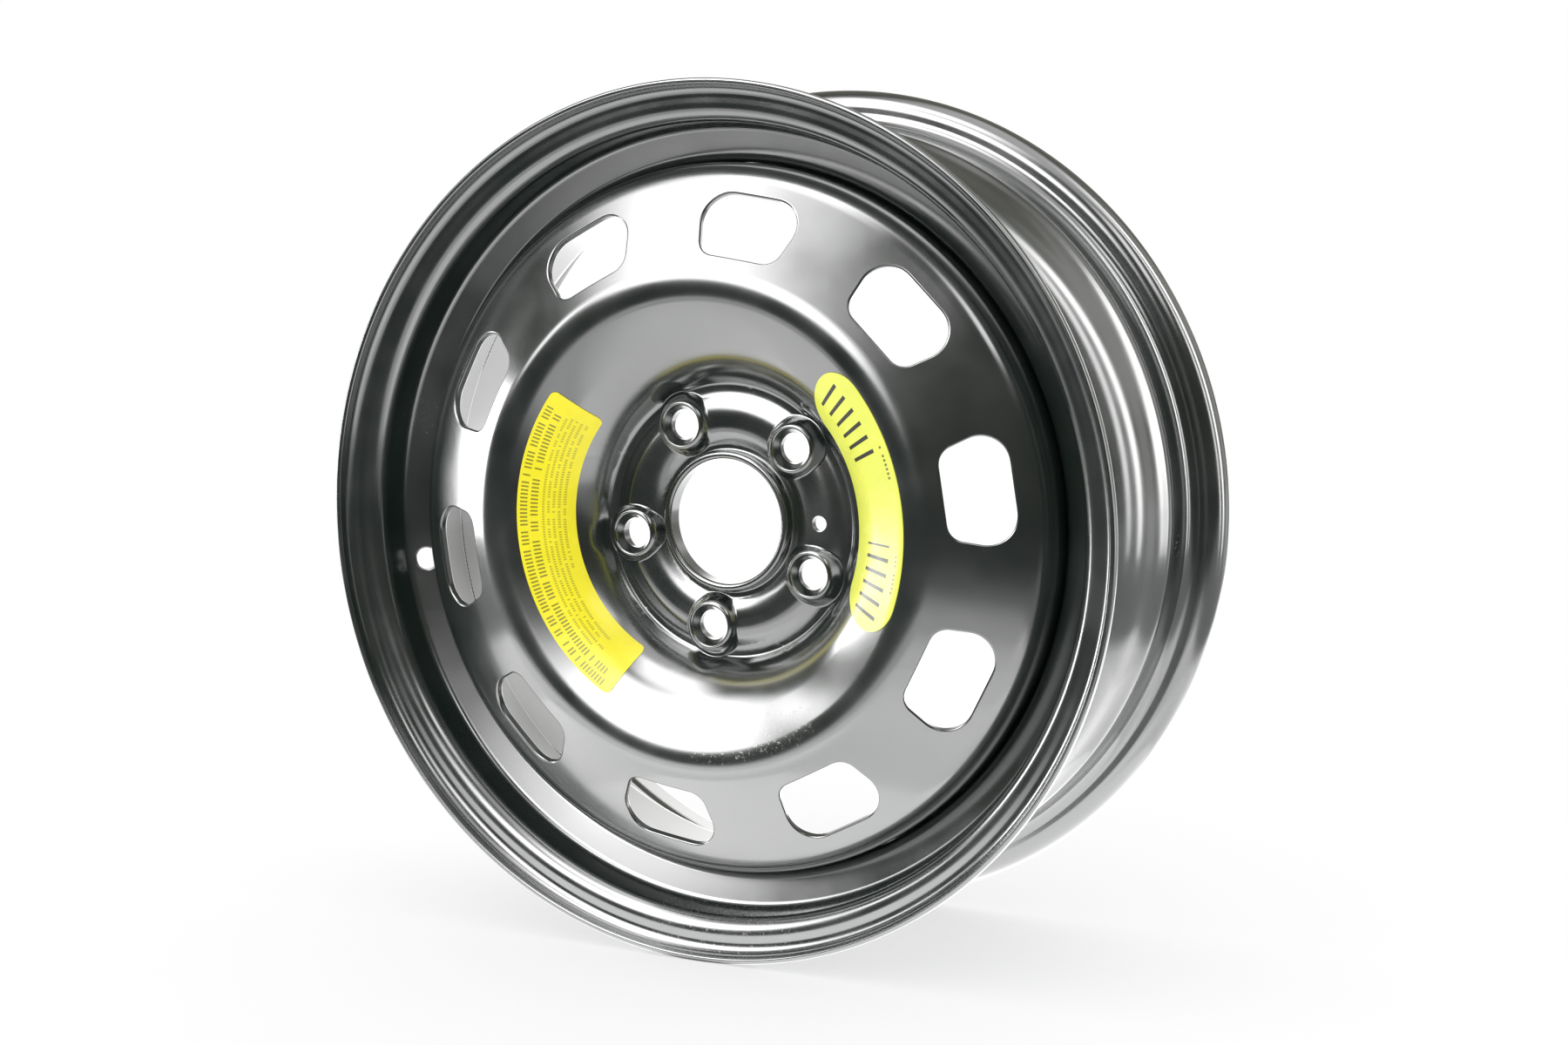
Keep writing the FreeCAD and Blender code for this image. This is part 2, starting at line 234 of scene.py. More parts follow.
HOLE_FACING = 0.1
VALVE_HOLE_POINTS = 48
LOCATING_HOLE_POINTS = 40
STICKER_CORNER_POINTS = 13
STICKER_LENGTH_POINTS = 100
STICKER_ROWS = 15
WELD_POINTS = 91
WELD_TURNS = 9
JOIN_DISTANCE = 2e-6
NEARLY_UPRIGHT = 0.9
TINY = 1e-6

# Paint and film
PAINT_COLOUR = (0.0065, 0.0115, 0.0090)
PAINT_LIGHTER = 1.5
PAINT_ROUGHNESS = (0.16, 0.27)
PAINT_GLOSS = {
    "IOR": 1.75,
    "Specular IOR Level": 1.0,
    "Coat Weight": 1.0,
    "Coat Roughness": 0.1,
    "Coat IOR": 1.5,
}
PEEL_STRENGTH = 0.012
PEEL_DEPTH = 0.4
# The pale grey and added roughness below serve dust, scuffs on the rim and painted highlight flecks on the
# disc.
DUST_SCUFF_AND_HIGHLIGHT_COLOUR = (0.30, 0.29, 0.27)
DUST_DENSITY = 0.12
DUST_SCUFF_AND_HIGHLIGHT_ROUGHNESS = 0.4
LEMON = (0.90, 0.95, 0.13)
DEEP_YELLOW = (0.95, 0.84, 0.012)
INK = (0.03, 0.03, 0.02)
FILM_FADE = 0.93
FILM_ROUGHNESS = (0.2, 0.3)
FILM_RELIEF = 0.06
FILM_RELIEF_DEPTH = 0.5
NOISE_RANGE = (0.3, 0.7)

# Pale fleck patches, scuffs on the rim and painted highlight on the disc: radii, angles, depths along Y and
# strength, and how softly they end
RIM_SCUFFS = [((198, 206), (-5, -2), (97, 101), 0.9), ((196, 222), (262, 284), (-36, 2), 0.35)]
# The disc's patch is painted highlight: pale flecks that stand for the mottled edge of the lower nave's
# reflection.
DISC_HIGHLIGHT_FLECKS = [((97, 117), (-90, -58), (-44, -28), 1.0)]
SCUFF_AND_HIGHLIGHT_ANGLE_EDGE = 0.4
SCUFF_AND_HIGHLIGHT_RADIUS_EDGE = 3.0
SCUFF_AND_HIGHLIGHT_DEPTH_EDGE = 2.0
REAR_FACING = 0.5

# Studio, in metres
EYE = Vector((0.6639, -1.2132, 0.1543))
LOOK_AT = Vector((0.0287, 0.0, 0.0001))
LENS = 62.98
SENSOR_WIDTH = 36.0
VIEW_END = 50.0
FLOOR_REACH = 6.0
FLOOR_COLOURS = ((0.86, 0.86, 0.87), (0.9, 0.9, 0.9))
FLOOR_ROUGHNESS = 0.9
SHEET_EDGE = (-0.75, -0.38)
SHEET_LEVELS = (0.05, 0.5)
SHADOW_FADE = (0.25, 0.9)
SHADOW_LEVELS = (0.6, 1.0)
TABLE_WIDTH = 1.0
TABLE_SHIFT = -0.05
TABLE_BACK = 1.4
TABLE_SOFT = 0.1
ROOM_EDGE = (-0.2, 0.5)
ROOM_LEVELS = (0.07, 0.26)
ROOM_TINT = (1.0, 0.97, 0.86)
ROOM_FILL = 1.25
WHITE = (1.0, 1.0, 1.0)


# Sections and surfaces

def repeats(count):
    """Angles of what repeats a number of times round the axle."""
    return [WHEEL_TURN + 360 / count * index for index in range(count)]


def turned(section, angle):
    """Section points (radius, height) in millimetres, placed at angles about the axle, in metres."""
    section = np.asarray(section, float)
    around = np.radians(angle)
    radius, height = section[..., 0], section[..., 1]
    return np.stack([radius * np.cos(around), -height + 0 * around, radius * np.sin(around)], -1) * MM


def spun(vectors, angle):
    """Vectors turned about the axle from +X towards +Z."""
    cosine, sine = math.cos(math.radians(angle)), math.sin(math.radians(angle))
    x, y, z = np.moveaxis(vectors, -1, 0)
    return np.stack([x * cosine - z * sine, y, x * sine + z * cosine], -1)


def rounded_path(corners, steps=BEND_STEPS):
    """Points and left-hand normals along a path of (radius, height, bend radius) corners."""
    places = [np.array(corner[:2], float) for corner in corners]
    rows = []

    def add(point, along):
        if not rows or np.linalg.norm(rows[-1][:2] - point) > TINY:
            rows.append(np.array([*point, -along[1], along[0]]))

    for index, (corner, place) in enumerate(zip(corners, places)):
        before = place - places[index - 1] if index else places[1] - place
        after = places[index + 1] - place if index + 1 < len(places) else before
        before, after = before / np.linalg.norm(before), after / np.linalg.norm(after)
        turn = math.atan2(before[0] * after[1] - before[1] * after[0], before @ after)
        if abs(turn) < TINY:
            add(place, before)
            continue
        bend = math.copysign(corner[2], turn)
        start = place - before * corner[2] * math.tan(abs(turn) / 2)
        centre = start + bend * np.array([-before[1], before[0]])
        for spin in np.linspace(0, turn, steps + 1):
            along = np.array([before[0] * math.cos(spin) - before[1] * math.sin(spin),
                              before[0] * math.sin(spin) + before[1] * math.cos(spin)])
            add(centre + bend * np.array([along[1], -along[0]]), along)
    rows = np.array(rows)
    return rows[:, :2], rows[:, 2:]


def thinned(path):
    """A fine path with every few rows kept, and its last row."""
    keep = np.unique(np.append(np.arange(0, len(path[0]), FINE_SHARE), len(path[0]) - 1))
    return path[0][keep], path[1][keep]


def other_side(path, thickness):
    """The far side of a sheet whose near side is a path."""
    points, normals = path
    return points - thickness * normals, -normals


def split(path, *cuts):
    """A path cut at some radii into stretches that share their end points."""
    rows = np.hstack(path)
    parts = []
    for radius in cuts:
        index = int(np.searchsorted(rows[:, 0], radius))
        share = (radius - rows[index - 1, 0]) / (rows[index, 0] - rows[index - 1, 0])
        cut = rows[index - 1] + share * (rows[index] - rows[index - 1])
        parts.append(np.vstack([rows[:index], cut]))
        rows = np.vstack([cut, rows[index:]])
    return [(part[:, :2], part[:, 2:]) for part in parts + [rows]]


def along_path(path, measure, wanted):
    """Points and normals of a path where a measure that grows along it has the values wanted."""
    columns = [np.interp(wanted, measure, column) for column in np.hstack(path).T]
    return np.stack(columns[:2], -1), np.stack(columns[2:], -1)


def round_edge(first, last, radius):
    """The rounded end of a sheet, from one side's end point round to the other's."""
    along = np.array([first[1] - last[1], last[0] - first[0]])
    along = along / np.linalg.norm(along) * radius
    if along[1] * (first[1] + last[1]) < 0:
        along = -along
    corners = [(*first, 0), (*(first + along), radius), (*(last + along), radius), (*last, 0)]
    return rounded_path(corners, EDGE_STEPS)


def smooth_min(a, b, width):
    """The lower of two heights, with their crease rounded over a width."""
    blend = np.clip(0.5 + 0.5 * (b - a) / width, 0, 1)
    return b + (a - b) * blend - width * blend * (1 - blend)


def smooth_max(a, b, width):
    """The higher of two heights, with their crease rounded over a width."""
    return -smooth_min(-a, -b, width)


def bearings(points, centre, axis):
    """Angles of points about an axis through a centre."""
    side = np.cross(axis, [0, 0, 1] if abs(axis[2]) < NEARLY_UPRIGHT else [1, 0, 0])
    plane = np.array([side / np.linalg.norm(side), np.cross(axis, side) / np.linalg.norm(side)])
    flat = (points - centre) @ plane.T
    return np.arctan2(flat[..., 1], flat[..., 0])


def between_rings(outer, inner):
    """Triangles between two rings of sorted bearings; the inner ring is numbered after the outer one."""
    triangles, i, j = [], 0, 0
    while i < len(outer) or j < len(inner):
        a, b = i % len(outer), len(outer) + j % len(inner)
        next_outer = outer[(i + 1) % len(outer)] + 2 * math.pi * ((i + 1) // len(outer))
        next_inner = inner[(j + 1) % len(inner)] + 2 * math.pi * ((j + 1) // len(inner))
        if j >= len(inner) or (i < len(outer) and next_outer < next_inner):
            i += 1
            triangles.append([a, i % len(outer), b])
        else:
            j += 1
            triangles.append([a, len(outer) + j % len(inner), b])
    return triangles


def hole_wall(centre, axis, edges, rounding):
    """Rows of points and normals from one edge of a hole to the other, with quarter rounds at the edges."""
    turns = np.linspace(0, math.pi / 2, HOLE_EDGE_ROWS) if rounding else np.array([math.pi / 2])
    rows, row_normals = [], []
    for sign, (ring, _) in zip((1, -1), edges):
        inward = centre - ring
        inward -= (inward @ axis)[:, None] * axis
        inward /= np.linalg.norm(inward, axis=1, keepdims=True)
        for turn in turns[::sign]:
            depth = sign * rounding * (1 - math.cos(turn))
            rows.append(ring + rounding * math.sin(turn) * inward - depth * axis)
            row_normals.append(math.sin(turn) * inward + sign * math.cos(turn) * axis)
    return np.stack(rows), np.stack(row_normals)


def new_object(name, data):
    """An object in the scene that shows some data."""
    made = bpy.data.objects.new(name, data)
    bpy.context.scene.collection.objects.link(made)
    return made


class Surface:
    """Grids of points that carry their own normals, joined into one closed mesh."""

    def __init__(self):
        self.points, self.normals, self.faces = [], [], []
        self.count = 0

    def add(self, points, normals, faces):
        """Points with normals, and faces between them that are turned to agree with the normals."""
        points, normals = points.reshape(-1, 3), normals.reshape(-1, 3)
        normals = normals / np.linalg.norm(normals, axis=1, keepdims=True)
        faces = np.array(faces)
        corners = points[faces]
        across = np.cross(corners[:, 1] - corners[:, 0], corners[:, 2] - corners[:, 0])
        across += np.cross(corners[:, 2] - corners[:, 0], corners[:, -1] - corners[:, 0])
        backward = (across * normals[faces].mean(1)).sum(1) < 0
        faces[backward] = faces[backward][:, ::-1]
        self.points.append(points)
        self.normals.append(normals)
        self.faces.extend((faces + self.count).tolist())
        self.count += len(points)

    def grid(self, points, normals, closed=False):
        """A grid of (rows, columns) points; closed joins its last column to its first."""
        rows, columns = points.shape[:2]
        index = np.arange(rows * columns).reshape(rows, columns)
        if closed:
            index = np.hstack([index, index[:, :1]])
        corners = [index[:-1, :-1], index[:-1, 1:], index[1:, 1:], index[1:, :-1]]
        self.add(points, normals, np.stack(corners, -1).reshape(-1, 4))

    def lathe(self, path):
        """A section turned once round the axle."""
        angles = WHEEL_TURN + np.arange(COLUMNS) * 360 / COLUMNS
        points, normals = (turned(part[:, None], angles[None]) for part in path)
        self.grid(points, normals, closed=True)

    def joined(self):
        """For each point, the number that it shares with the points in the same place."""
        places = np.round(np.vstack(self.points) / JOIN_DISTANCE)
        return np.unique(places, axis=0, return_inverse=True)[1].ravel()

    def clear(self, centre, axis, reach):
        """Takes out the faces near a hole on the side that the axis leaves, and gives their border."""
        joined, points, normals = self.joined(), np.vstack(self.points), np.vstack(self.normals)
        offsets = points - centre
        depth = offsets @ axis
        apart = np.linalg.norm(offsets - depth[:, None] * axis, axis=1)
        near = (apart < reach) & (np.abs(depth) < reach) & (normals @ axis > HOLE_FACING)
        gone = np.array([near[face].any() for face in self.faces])
        edge_count, place = {}, {}
        for face in (self.faces[i] for i in np.flatnonzero(gone)):
            for a, b in zip(face, face[1:] + face[:1]):
                key = frozenset((joined[a], joined[b]))
                edge_count[key] = edge_count.get(key, 0) + 1
                place[joined[a]] = a
        self.faces = [face for face, out in zip(self.faces, gone) if not out]
        border = sorted({v for key, count in edge_count.items() if count == 1 for v in key})
        return np.array([place[v] for v in border])

    def punch(self, centre, axis, reach, edges, rounding=0.0):
        """A round hole: nearby faces make way for triangles that end on the hole's two edges.

        Each edge is a ring of (points, normals), the first on the side that the axis leaves.
        """
        for sign, (ring, ring_normals) in zip((1, -1), edges):
            border = self.clear(centre, sign * axis, reach)
            points, normals = np.vstack(self.points), np.vstack(self.normals)
            outer, inner = bearings(points[border], centre, axis), bearings(ring, centre, axis)
            border, order = border[np.argsort(outer)], np.argsort(inner)
            whole = np.vstack([points[border], ring[order]])
            whole_normals = np.vstack([normals[border], ring_normals[order]])
            self.add(whole, whole_normals, between_rings(np.sort(outer), np.sort(inner)))
        self.grid(*hole_wall(centre, axis, edges, rounding), closed=True)

    def build(self, name):
        """An object whose mesh shares the points in the same place and keeps the normals given."""
        points, normals, joined = np.vstack(self.points), np.vstack(self.normals), self.joined()
        places = np.zeros((joined.max() + 1, 3))
        places[joined] = points
        corners = [[i for k, i in enumerate(face) if joined[i] != joined[face[k - 1]]] for face in self.faces]
        corners = [face for face in corners if len(face) > 2]
        mesh = bpy.data.meshes.new(name)
        mesh.from_pydata(places.tolist(), [], [joined[face].tolist() for face in corners])
        mesh.shade_smooth()
        mesh.normals_split_custom_set(normals[[i for face in corners for i in face]].tolist())
        mesh.update()
        return new_object(name, mesh)


# Rim

def rim_path():
    """The rim's tyre side from the front lip to the rear lip."""
    bead = FLANGE_RADIUS - FLANGE_HEIGHT
    front = RIM_FRONT - FLANGE_LIP
    rear = RIM_REAR + FLANGE_LIP
    drop = math.tan(math.radians(BEAD_SEAT_TAPER))
    front_foot = bead - FRONT_SEAT_WIDTH * drop
    rear_foot = bead - REAR_SEAT_WIDTH * drop
    well = bead - WELL_DEPTH
    well_front = front - WELL_START
    well_rear = well_front - WELL_WIDTH
    hump_top = rear_foot + HUMP_HEIGHT
    hump_start = rear + REAR_SEAT_WIDTH + HUMP_WIDTH
    return rounded_path([
        (FLANGE_RADIUS, RIM_FRONT - LIP_EDGE, 0),
        (FLANGE_RADIUS, front, FLANGE_CURL + RIM_SHEET),
        (bead, front, BEAD_CORNER),
        (front_foot, front - FRONT_SEAT_WIDTH, FOLD_RADIUS + RIM_SHEET),
        (well, well_front, FOLD_RADIUS),
        (well, well_rear, FOLD_RADIUS),
        (well + LEDGE_RISE, well_rear - LEDGE_RUN, LEDGE_BEND),
        (hump_top - LEDGE_FOLD_DROP, hump_start + LEDGE_FOLD_REACH, LEDGE_FOLD_BEND),
        (hump_top, hump_start, HUMP_BEND),
        (rear_foot, rear + REAR_SEAT_WIDTH, HUMP_FOOT_BEND),
        (bead, rear, BEAD_CORNER),
        (FLANGE_RADIUS, rear, FLANGE_CURL + RIM_SHEET),
        (FLANGE_RADIUS, RIM_REAR + LIP_EDGE, 0),
    ])


def punch_valve_hole(rim, tyre_side, axle_side):
    """A straight hole with rounded edges in the wall between the front bead seat and the well."""
    points = tyre_side[0]
    radius = FLANGE_RADIUS - FLANGE_HEIGHT - VALVE_HOLE_DROP
    below = int(np.argmax(points[:, 0] < radius))
    down = points[below] - points[below - 1]
    middle = points[below] + down * (radius - points[below, 0]) / down[0]
    down /= np.linalg.norm(down)
    well = int(np.argmin(points[:, 0])) + 1

    def on_wall(along, across, path):
        """Places on one side of the wall, at distances from the hole's axis, and their normals."""
        wall = path[0][:well], path[1][:well]
        place, facing = along_path(wall, (wall[0] - middle) @ down, along)
        bearing = VALVE_HOLE_ANGLE + np.degrees(np.arcsin(across / place[:, 0]))
        return turned(place, bearing), turned(facing, bearing) / MM

    spin = np.linspace(0, 2 * math.pi, VALVE_HOLE_POINTS, endpoint=False)
    reach = VALVE_HOLE_RADIUS + VALVE_HOLE_ROUND
    ring = reach * np.cos(spin), reach * np.sin(spin)
    centre, axis = on_wall(np.zeros(1), np.zeros(1), tyre_side)
    edges = [on_wall(*ring, side) for side in (tyre_side, axle_side)]
    rim.punch(centre[0], axis[0], (reach + HOLE_MARGIN) * MM, edges, VALVE_HOLE_ROUND * MM)


def make_rim():
    """The rolled rim with rounded folds, rounded lip edges and its valve hole."""
    tyre_side = rim_path()
    axle_side = other_side(tyre_side, RIM_SHEET)
    rim = Surface()
    rim.lathe(tyre_side)
    rim.lathe(axle_side)
    rim.lathe(round_edge(axle_side[0][0], tyre_side[0][0], LIP_EDGE))
    rim.lathe(round_edge(tyre_side[0][-1], axle_side[0][-1], LIP_EDGE))
    punch_valve_hole(rim, tyre_side, axle_side)
    return rim.build("rim_shell")


# Disc

def disc_path():
    """The disc's street side from the groove round the collar to the end of its edge."""
    slope_foot = BOLT_RADIUS + RIDGE_OUTER_REACH + RIDGE_SLOPE_WIDTH
    return rounded_path([
        (HUB_INNER, DISC_SHEET, 0),
        (COLLAR_RADIUS + GROOVE_WIDTH, DISC_SHEET, GROOVE_BEND),
        (BOLT_RADIUS - RIDGE_INNER_REACH, RIDGE_HEIGHT, RIDGE_BEND),
        (BOLT_RADIUS + RIDGE_OUTER_REACH, RIDGE_HEIGHT, RIDGE_BEND),
        (slope_foot, DISC_SHEET, RIDGE_FOOT_BEND),
        (WALL_FOOT_RADIUS, DISC_SHEET, WALL_FOOT_BEND),
        (WALL_TOP_RADIUS, WALL_TOP_HEIGHT, WALL_TOP_BEND),
        (CROWN_RADIUS, CROWN_HEIGHT, CROWN_BEND),
        (DISC_EDGE_RADIUS, DISC_EDGE_HEIGHT, DISC_EDGE_BEND),
        (DISC_EDGE_RADIUS, DISC_REAR + EDGE_ROUND, 0),
    ], FINE_STEPS)


FINE_FRONT = disc_path()
FINE_BACK = other_side(FINE_FRONT, DISC_SHEET)


def bore_path():
    """The bore's wall and its rolled collar, from the hub face round to the groove."""
    return rounded_path([
        (HUB_BACK_INNER, 0, 0),
        (BORE_RADIUS, 0, EDGE_ROUND),
        (BORE_RADIUS, COLLAR_HEIGHT, COLLAR_LIP),
        (COLLAR_RADIUS, COLLAR_HEIGHT, COLLAR_LIP),
        (COLLAR_RADIUS, DISC_SHEET, COLLAR_FOOT),
        (HUB_INNER, DISC_SHEET, 0),
    ], COLLAR_STEPS)


def section_height(path, radius):
    """Height of a section at some radii inside the disc's edge."""
    return np.interp(radius, path[0][:, 0], path[0][:, 1])


def pocket_height(path, radius, beyond):
    """Height of a section whose wall is cut back to a pocket's edge, at distances beyond that edge."""
    floor = section_height(path, np.minimum(radius, POCKET_FLOOR_END))
    limit = smooth_max(beyond * POCKET_SLOPE, 0 * beyond, POCKET_BLEND)
    blend = np.clip(limit, TINY, POCKET_BLEND)
    return floor + smooth_min(section_height(path, radius) - floor, limit, blend)


def front_height(x, z):
    """Height of the street side in one bolt's sector, with the bolt on the X axis."""
    radius, apart = np.hypot(x, z), np.hypot(x - BOLT_RADIUS, z)
    height = pocket_height(FINE_FRONT, radius, apart - POCKET_RADIUS)
    seat = SEAT_LAND + (apart - BOLT_HOLE_RADIUS) * SEAT_SLOPE
    flank = SEAT_TOP - (apart - SEAT_RIM_RADIUS) * SEAT_FLANK_SLOPE
    boss = smooth_min(smooth_min(seat, SEAT_TOP + 0 * seat, SEAT_TOP_BLEND), flank, SEAT_FLANK_BLEND)
    return np.where(apart < SEAT_RIM_RADIUS, boss, smooth_max(height, boss, SEAT_FOOT_BLEND))


def back_height(x, z):
    """Height of the vehicle side in one bolt's sector."""
    radius, apart = np.hypot(x, z), np.hypot(x - BOLT_RADIUS, z)
    return pocket_height(FINE_BACK, radius, apart - POCKET_RADIUS - DISC_SHEET)


def on_height(height, x, z, side):
    """Points of a height field and its normals, towards the street (side 1) or the vehicle (side -1)."""
    slope_x = (height(x + SLOPE_STEP, z) - height(x - SLOPE_STEP, z)) / (2 * SLOPE_STEP)
    slope_z = (height(x, z + SLOPE_STEP) - height(x, z - SLOPE_STEP)) / (2 * SLOPE_STEP)
    points = np.stack([x, -height(x, z), z], -1) * MM
    return points, side * np.stack([-slope_x, -np.ones_like(x), -slope_z], -1)


def sector_border(inner, outer, count, rows):
    """Radii and bearings round the border of one of a number of equal sectors, as one ring."""
    half = 180 / count
    angles = np.linspace(-half, half, COLUMNS // count + 1)
    radii = np.linspace(inner, outer, rows + 1)
    ring = [(inner, angle) for angle in angles[:-1]]
    ring += [(radius, half) for radius in radii[:-1]]
    ring += [(outer, angle) for angle in angles[:0:-1]]
    ring += [(radius, -half) for radius in radii[:0:-1]]
    radius, angle = np.array(ring).T
    return radius, np.radians(angle)


def add_hub_side(disc, height, side, borders, fold, ring_counts):
    """One side of the hub: rings grow from each bolt hole to a fold's circle, then to the sector's border."""
    radius, around = sector_border(*borders, BOLT_COUNT, HUB_ROWS)
    border_x, border_z = radius * np.cos(around) - BOLT_RADIUS, radius * np.sin(around)
    whole = np.hypot(border_x, border_z)
    cosine, sine = border_x / whole, border_z / whole
    to_fold = np.sqrt(fold ** 2 - (BOLT_RADIUS * sine) ** 2) - BOLT_RADIUS * cosine
    near = np.minimum(POCKET_RADIUS, HUB_NEAR_SHARE * whole)
    stops = [BOLT_HOLE_RADIUS + 0 * whole, near, np.clip(to_fold, near, whole), whole]
    apart = [stops[0][None]]
    for start, end, count in zip(stops, stops[1:], ring_counts):
        share = np.linspace(0, 1, count + 1)[1:, None]
        apart.append(start + share * (end - start))
    apart = np.vstack(apart)
    points, normals = on_height(height, BOLT_RADIUS + cosine * apart, sine * apart, side)
    for angle in repeats(BOLT_COUNT):
        disc.grid(spun(points, angle), spun(normals, angle), closed=True)
    return points[0]


def add_hub(disc):
    """Both sides of the hub with the bolt seats in their pockets, and the bolt holes' walls."""
    front_borders, back_borders = (HUB_INNER, HUB_OUTER), (HUB_BACK_INNER, HUB_BACK_OUTER)
    front_ring = add_hub_side(disc, front_height, 1, front_borders, WALL_FOOT_RADIUS, FRONT_RINGS)
    back_ring = add_hub_side(disc, back_height, -1, back_borders, BACK_FOLD_RADIUS, BACK_RINGS)
    wall = np.stack([front_ring, back_ring])
    wall_normals = np.array([BOLT_RADIUS * MM, 0, 0]) - wall * np.array([1, 0, 1])
    for angle in repeats(BOLT_COUNT):
        disc.grid(spun(wall, angle), spun(wall_normals, angle), closed=True)


def vent_outline(around):
    """Points and outward normals of a vent's outline, at angles about its middle, drawn flat."""
    corners = [
        (VENT_INNER_HALF, -VENT_HALF_HEIGHT, VENT_INNER_CORNER),
        (VENT_OUTER_HALF, VENT_HALF_HEIGHT, VENT_OUTER_CORNER),
        (-VENT_OUTER_HALF, VENT_HALF_HEIGHT, VENT_OUTER_CORNER),
        (-VENT_INNER_HALF, -VENT_HALF_HEIGHT, VENT_INNER_CORNER),
    ]
    bottom = (0, -VENT_HALF_HEIGHT, 0)
    points, normals = rounded_path([bottom] + corners + [bottom], VENT_CORNER_STEPS)
    angles = np.unwrap(np.arctan2(points[:, 1], points[:, 0]))
    wanted = angles[0] + np.mod(around - angles[0], 2 * math.pi)
    return along_path((points, -normals), angles, wanted)


def on_vent_axis(flat, drop):
    """Places under flat outline points, along the vent's axis, on the side of the sheet at a drop."""
    across, along = flat[..., 0], flat[..., 1]
    rise = np.zeros_like(across)
    for _ in range(SETTLE_ROUNDS):
        radius = np.hypot(VENT_MIDDLE_RADIUS + along * VENT_COS + rise * VENT_SIN, across)
        fall = (radius - VENT_MIDDLE_RADIUS) * VENT_SIN / VENT_COS
        rise = (along * VENT_SIN - fall - drop / VENT_COS) / VENT_COS
    height = VENT_MIDDLE_HEIGHT - along * VENT_SIN + rise * VENT_COS
    return np.stack([VENT_MIDDLE_RADIUS + along * VENT_COS + rise * VENT_SIN, -height, across], -1)


def vent_edge(flat, outwards, side, drop, face_normals):
    """The rounded edge from one side of the sheet into a vent."""
    turns = np.radians(np.linspace(0, 90, VENT_EDGE_ROWS))[:, None, None]
    reaches = VENT_EDGE_ROUND * (1 - np.sin(turns.ravel()))
    rows = np.stack([on_vent_axis(flat + outwards * reach, drop) for reach in reaches])
    into_vent = np.array([-VENT_SIN, VENT_COS, 0])
    rows = rows + side * VENT_EDGE_ROUND * (1 - np.cos(turns)) * into_vent
    inward = -(outwards[:, :1] * np.array([0, 0, 1]) + outwards[:, 1:] * np.array([VENT_COS, VENT_SIN, 0]))
    return rows, np.cos(turns) * face_normals + np.sin(turns) * inward


def vent_side(side, drop):
    """One side of a vent's sector, from the vent to the sector's border, and the vent's edge on that side."""
    radius, around = sector_border(VENT_INNER, VENT_OUTER, VENT_COUNT, VENT_ROWS)
    up = (radius * np.cos(around) - VENT_MIDDLE_RADIUS) / VENT_COS
    flat, outwards = vent_outline(np.arctan2(up, radius * np.sin(around)))
    start = on_vent_axis(flat + outwards * VENT_EDGE_ROUND, drop)
    share = np.linspace(0, 1, VENT_RINGS + 1)[:, None] ** VENT_RING_SPREAD
    radii = np.hypot(start[:, 0], start[:, 2]) * (1 - share) + radius * share
    angles = np.arctan2(start[:, 2], start[:, 0]) * (1 - share) + around * share
    cosine, sine = np.cos(angles), np.sin(angles)
    heights = CROWN_HEIGHT - (radii - CROWN_RADIUS) * VENT_SIN / VENT_COS - drop / VENT_COS
    points = np.stack([radii * cosine, -heights, radii * sine], -1)
    normals = side * np.stack([VENT_SIN * cosine, -VENT_COS + 0 * angles, VENT_SIN * sine], -1)
    return (points, normals), vent_edge(flat, outwards, side, drop, normals[0])


def add_vents(disc):
    """The vent ring's two sides, and the walls of the vents with their rounded edges."""
    front, front_edge = vent_side(1, 0.0)
    back, back_edge = vent_side(-1, DISC_SHEET)
    wall = [np.stack([first[-1], last[-1]]) for first, last in zip(front_edge, back_edge)]
    for angle in repeats(VENT_COUNT):
        for points, normals in (front, front_edge, back, back_edge, wall):
            disc.grid(spun(points, angle) * MM, spun(normals, angle), closed=True)


def punch_locating_hole(disc):
    """The small hole between the last bolt and the first."""
    last_bolt = WHEEL_TURN - BOLT_STEP
    bearing = math.radians(LOCATING_HOLE_ANGLE - last_bolt)
    turns = np.linspace(0, 2 * math.pi, LOCATING_HOLE_POINTS, endpoint=False)
    x = LOCATING_HOLE_REACH * math.cos(bearing) + LOCATING_HOLE_RADIUS * np.cos(turns)
    z = LOCATING_HOLE_REACH * math.sin(bearing) + LOCATING_HOLE_RADIUS * np.sin(turns)
    edges = []
    for height, side in ((front_height, 1), (back_height, -1)):
        points, normals = on_height(height, x, z, side)
        edges.append((spun(points, last_bolt), spun(normals, last_bolt)))
    centre = edges[0][0].mean(0)
    street = np.array([0.0, -1.0, 0.0])
    disc.punch(centre, street, (LOCATING_HOLE_RADIUS + HOLE_MARGIN) * MM, edges)


def make_disc():
    """The pressed disc: collar, hub, nave, crown, vent ring and edge."""
    disc = Surface()
    _, nave, _, edge = split(FINE_FRONT, HUB_OUTER, VENT_INNER, VENT_OUTER)
    _, _, back_nave, _, back_edge = split(FINE_BACK, HUB_BACK_INNER, HUB_BACK_OUTER, VENT_INNER, VENT_OUTER)
    disc.lathe(bore_path())
    for part in (nave, edge, back_nave, back_edge):
        disc.lathe(thinned(part))
    disc.lathe(round_edge(edge[0][-1], back_edge[0][-1], EDGE_ROUND))
    add_hub(disc)
    add_vents(disc)
    punch_locating_hole(disc)
    return disc.build("disc_shell")


# Stickers

def disc_front(x, z):
    """Height of the whole disc's street side inside the vents."""
    step = math.radians(BOLT_STEP)
    around = np.arctan2(z, x) - math.radians(WHEEL_TURN)
    around -= step * np.round(around / step)
    radius = np.hypot(x, z)
    return front_height(radius * np.cos(around), radius * np.sin(around))


